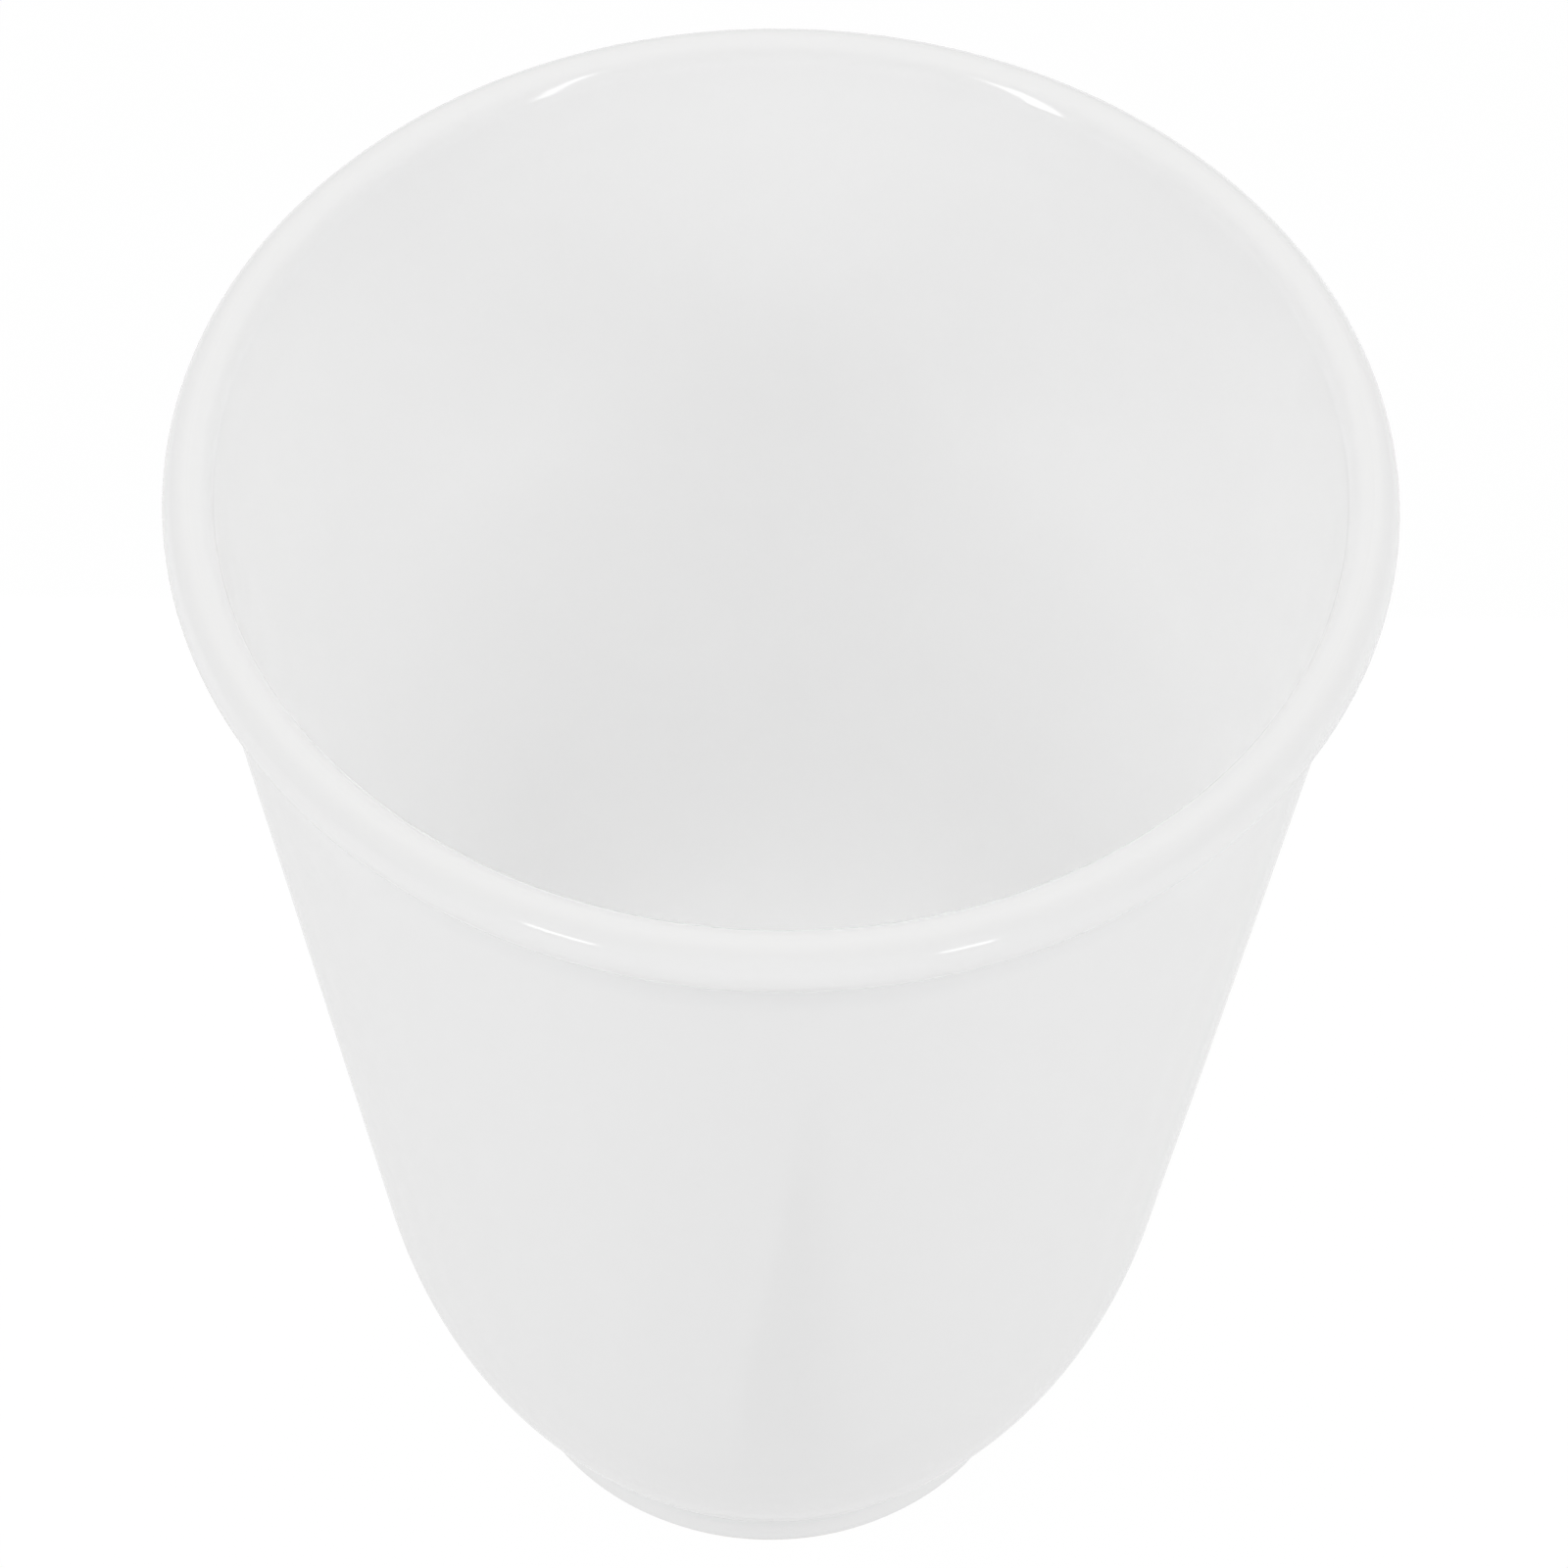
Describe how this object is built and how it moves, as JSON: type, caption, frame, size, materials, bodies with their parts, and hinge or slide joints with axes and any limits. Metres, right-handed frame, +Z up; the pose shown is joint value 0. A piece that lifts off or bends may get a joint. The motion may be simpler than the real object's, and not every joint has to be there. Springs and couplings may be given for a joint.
{
  "type": "steaming bowl",
  "caption": "Deep cup-shaped steaming bowl of white glazed porcelain with a rolled rim, a straight tapered wall, a rounded bottom and a foot ring.",
  "frame": {"origin": "centre of the foot ring, on the plane that the bowl stands on", "axes": "+Z up along the axis of the bowl; X and Y are alike because the bowl is round"},
  "size_m": [0.1, 0.1, 0.118],
  "materials": {
    "porcelain": "fired porcelain under the glaze",
    "bare_porcelain": "fine matt porcelain, wiped bare on the edge",
    "inside_glaze": "white gloss glaze",
    "outside_glaze": "white gloss glaze"
  },
  "bodies": {
    "root": {"body_shell": "porcelain", "rim_bead": "porcelain", "foot_ring": "bare_porcelain", "inside_glaze": "inside_glaze", "outside_glaze": "outside_glaze", "recess_glaze": "outside_glaze"}
  },
  "joints": []
}
